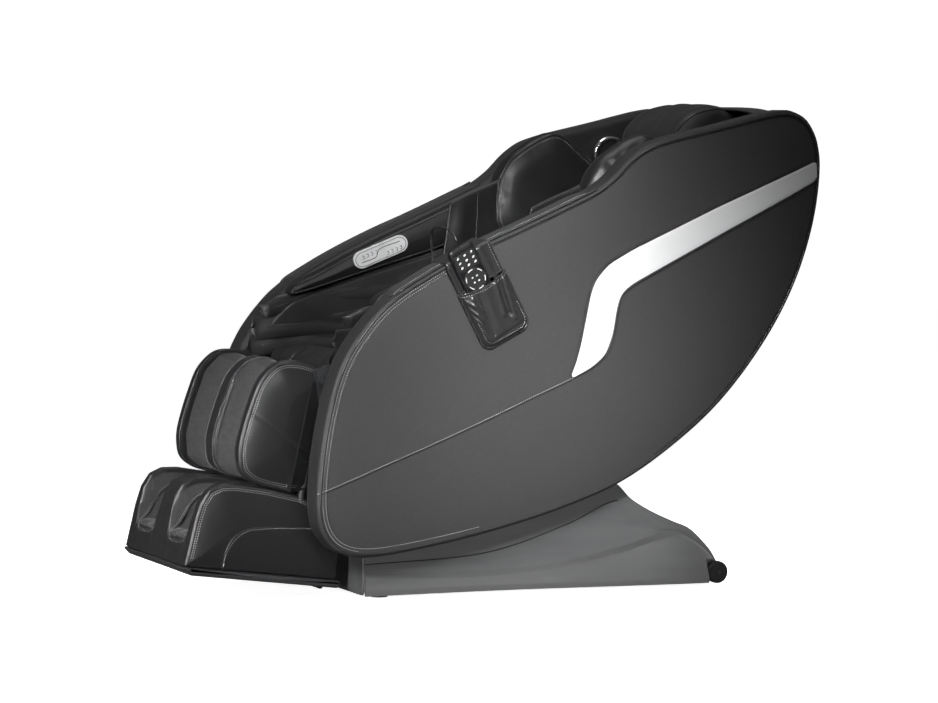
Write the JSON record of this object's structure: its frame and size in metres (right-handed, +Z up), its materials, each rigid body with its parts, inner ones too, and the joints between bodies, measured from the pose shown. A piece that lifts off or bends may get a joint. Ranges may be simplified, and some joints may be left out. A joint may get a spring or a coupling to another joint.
{
  "type": "massage chair",
  "caption": "Reclining full-body massage chair: seat shell on a flared base, calf rest, sliding foot rest and back massage carriage.",
  "frame": {"origin": "on the floor, under the middle of the chair's bounding box", "axes": "+Z up, the sitter faces -Y, +X is the sitter's left"},
  "size_m": [0.7545, 1.3978, 1.044],
  "materials": {
    "side_leather": "matte grained synthetic leather",
    "pad_leather": "semi-gloss synthetic leather",
    "silver_trim": "satin silver paint",
    "base_plastic": "satin moulded plastic",
    "black_plastic": "moulded",
    "painted_steel": "powder coat",
    "bright_steel": "drawn",
    "rubber": "matt",
    "chrome": "polished ring, black centre",
    "cord": "smooth PVC jacket"
  },
  "bodies": {
    "base": {"base_frame": "painted_steel", "base_side_cover_left": "base_plastic", "base_side_cover_right": "base_plastic", "base_rear_cover": "base_plastic", "base_front_cover": "base_plastic", "front_foot_left": "rubber", "front_foot_right": "rubber", "control_box": "black_plastic", "air_pump": "black_plastic", "power_inlet": "black_plastic", "pivot_shaft": "bright_steel"},
    "wheel_left": {"transport_wheel_left": "rubber"},
    "wheel_right": {"transport_wheel_right": "rubber"},
    "rocker": {"power_switch": "black_plastic"},
    "recline_tube": {"recline_motor": "black_plastic"},
    "recline_ram": {"recline_rod": "bright_steel"},
    "seat": {"seat_frame": "painted_steel", "side_panel_left": "side_leather", "side_panel_right": "side_leather", "trim_stripe_left": "silver_trim", "trim_stripe_right": "silver_trim", "arm_pad_left": "pad_leather", "arm_pad_right": "pad_leather", "hip_airbag_left": "pad_leather", "hip_airbag_right": "pad_leather", "shoulder_wing_left": "pad_leather", "shoulder_wing_right": "pad_leather", "seat_cushion": "pad_leather", "speaker_left": "chrome", "speaker_right": "chrome", "back_cover": "black_plastic", "backrest_pad": "pad_leather", "calf_motor": "black_plastic", "massage_track": "bright_steel", "remote_pocket": "pad_leather", "remote_case": "black_plastic", "lead_gland": "rubber", "remote_lead": "cord"},
    "headrest": {"headrest_pillow": "pad_leather"},
    "carriage": {"massage_carriage": "painted_steel"},
    "carriage_wheels": {"track_wheels": "black_plastic"},
    "arm_left": {"kneading_arm_left": "bright_steel"},
    "arm_right": {"kneading_arm_right": "bright_steel"},
    "roller_upper_left": {"massage_roller_upper_left": "black_plastic"},
    "roller_upper_right": {"massage_roller_upper_right": "black_plastic"},
    "roller_lower_left": {"massage_roller_lower_left": "black_plastic"},
    "roller_lower_right": {"massage_roller_lower_right": "black_plastic"},
    "calf": {"calf_frame": "painted_steel", "calf_tray": "black_plastic", "calf_wall_left": "pad_leather", "calf_wall_right": "pad_leather", "calf_divider": "pad_leather"},
    "foot": {"foot_rest_body": "pad_leather", "foot_slide_frame": "painted_steel", "foot_base_tray": "black_plastic"},
    "foot_drum": {"foot_roller": "black_plastic"},
    "keypad": {"remote_keypad": "rubber"},
    "ring_key": {"remote_ring_key": "silver_trim"}
  },
  "joints": [
    {"name": "recline", "type": "hinge", "parent": "base", "child": "seat", "pos_m": [0, 0.09, 0.3], "axis": [-1, 0, 0], "range_deg": [0, 18]},
    {"name": "recline_tube_pivot", "type": "hinge", "parent": "base", "child": "recline_tube", "pos_m": [-0.09, -0.23, 0.07], "axis": [-1, 0, 0], "range_deg": [-2, 2]},
    {"name": "recline_ram_slide", "type": "slide", "parent": "recline_tube", "child": "recline_ram", "axis": [0, 0.1448, 0.9895], "range_m": [0, 0.0925]},
    {"name": "calf_lift", "type": "hinge", "parent": "seat", "child": "calf", "pos_m": [0, -0.405, 0.472], "axis": [-1, 0, 0], "range_deg": [0, 75]},
    {"name": "foot_extend", "type": "slide", "parent": "calf", "child": "foot", "axis": [0, -0.225, -0.9744], "range_m": [0, 0.12]},
    {"name": "foot_drum_spin", "type": "hinge", "parent": "foot", "child": "foot_drum", "pos_m": [0, -0.57076, 0.12893], "axis": [1, 0, 0], "continuous": true},
    {"name": "headrest_flip", "type": "hinge", "parent": "seat", "child": "headrest", "pos_m": [0, 0.6098, 1.03016], "axis": [-1, 0, 0], "range_deg": [0, 90]},
    {"name": "carriage_travel", "type": "slide", "parent": "seat", "child": "carriage", "axis": [0, 0.6018, 0.7986], "range_m": [-0.09, 0.33]},
    {"name": "carriage_wheels_spin", "type": "hinge", "parent": "carriage", "child": "carriage_wheels", "pos_m": [0, 0.39016, 0.48446], "axis": [1, 0, 0], "continuous": true},
    {"name": "knead_left", "type": "hinge", "parent": "carriage", "child": "arm_left", "pos_m": [0.048, 0.36301, 0.50492], "axis": [1, 0, 0], "range_deg": [-8, 8]},
    {"name": "knead_right", "type": "hinge", "parent": "carriage", "child": "arm_right", "pos_m": [-0.048, 0.36301, 0.50492], "axis": [1, 0, 0], "range_deg": [-8, 8]},
    {"name": "roller_upper_left_spin", "type": "hinge", "parent": "arm_left", "child": "roller_upper_left", "pos_m": [0.067, 0.36773, 0.55771], "axis": [1, 0, 0], "continuous": true},
    {"name": "roller_lower_left_spin", "type": "hinge", "parent": "arm_left", "child": "roller_lower_left", "pos_m": [0.067, 0.31356, 0.48583], "axis": [1, 0, 0], "continuous": true},
    {"name": "roller_upper_right_spin", "type": "hinge", "parent": "arm_right", "child": "roller_upper_right", "pos_m": [-0.067, 0.36773, 0.55771], "axis": [1, 0, 0], "continuous": true},
    {"name": "roller_lower_right_spin", "type": "hinge", "parent": "arm_right", "child": "roller_lower_right", "pos_m": [-0.067, 0.31356, 0.48583], "axis": [1, 0, 0], "continuous": true},
    {"name": "wheel_left_spin", "type": "hinge", "parent": "base", "child": "wheel_left", "pos_m": [0.306, 0.474, 0.026], "axis": [1, 0, 0], "continuous": true},
    {"name": "wheel_right_spin", "type": "hinge", "parent": "base", "child": "wheel_right", "pos_m": [-0.306, 0.474, 0.026], "axis": [1, 0, 0], "continuous": true},
    {"name": "power_switch_rock", "type": "hinge", "parent": "base", "child": "rocker", "pos_m": [-0.105, 0.492, 0.0235], "axis": [1, 0, 0], "range_deg": [-8, 8]},
    {"name": "keypad_press", "type": "slide", "parent": "seat", "child": "keypad", "axis": [-1, 0, 0], "range_m": [0, 0.0008], "stiffness_N_per_m": 400},
    {"name": "ring_key_press", "type": "slide", "parent": "seat", "child": "ring_key", "axis": [-1, 0, 0], "range_m": [0, 0.0008], "stiffness_N_per_m": 400}
  ],
  "couplings": [
    {"joint": "recline_tube_pivot", "follows": "recline", "ratio": -0.1},
    {"joint": "recline_ram_slide", "follows": "recline", "m_per_rad": 0.29},
    {"joint": "knead_right", "follows": "knead_left", "ratio": -1}
  ]
}
